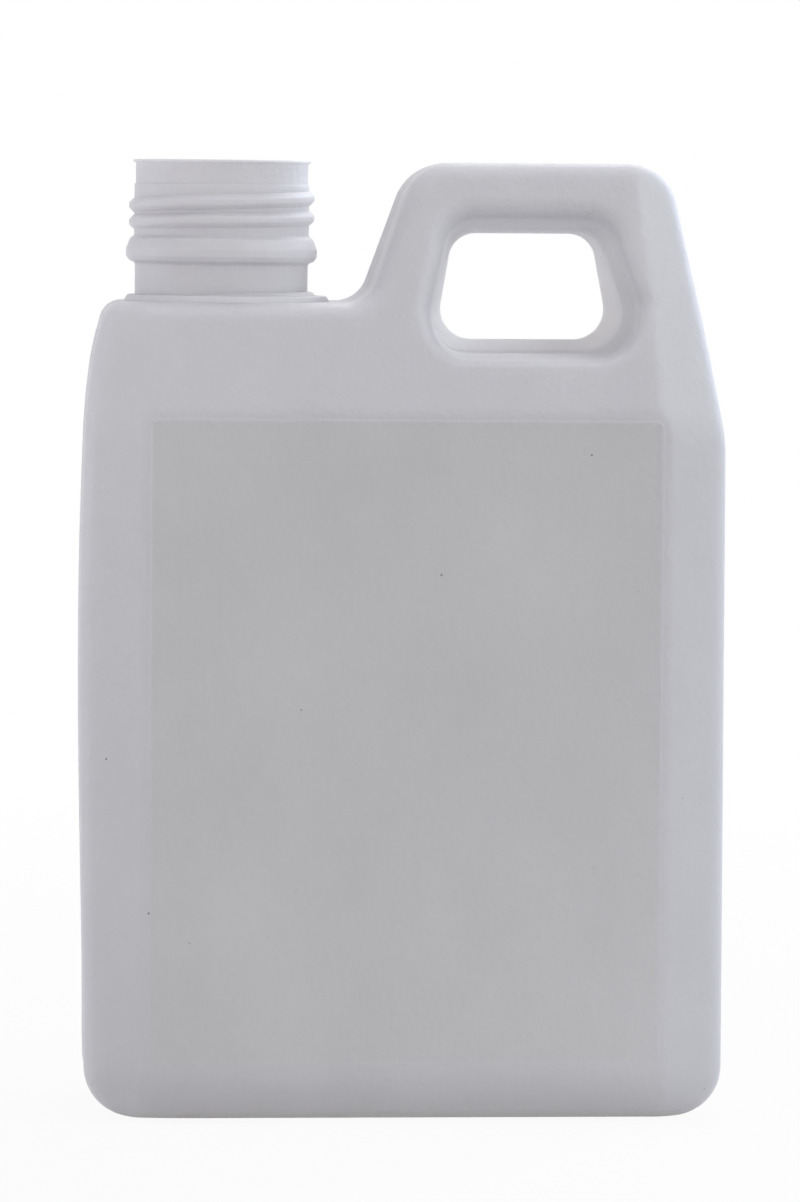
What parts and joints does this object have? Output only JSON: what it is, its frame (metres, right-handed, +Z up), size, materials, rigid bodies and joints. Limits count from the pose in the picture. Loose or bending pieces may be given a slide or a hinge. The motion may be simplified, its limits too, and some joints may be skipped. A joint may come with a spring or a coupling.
{
  "type": "jerrycan",
  "caption": "Small flat blow-moulded plastic jerrycan with a pinched carry handle beside an open, threaded pouring neck, and a flat label panel on each face.",
  "frame": {"origin": "middle of the can's outline seen from above, on the surface it stands on", "axes": "+Z up, +X from the neck towards the handle, -Y out of the front face"},
  "size_m": [0.1312, 0.058, 0.195],
  "materials": {
    "natural_hdpe": "natural blow-moulded HDPE, satin, slightly grained, a little see-through where it is thin"
  },
  "bodies": {
    "root": {"can_body": "natural_hdpe"}
  },
  "joints": []
}
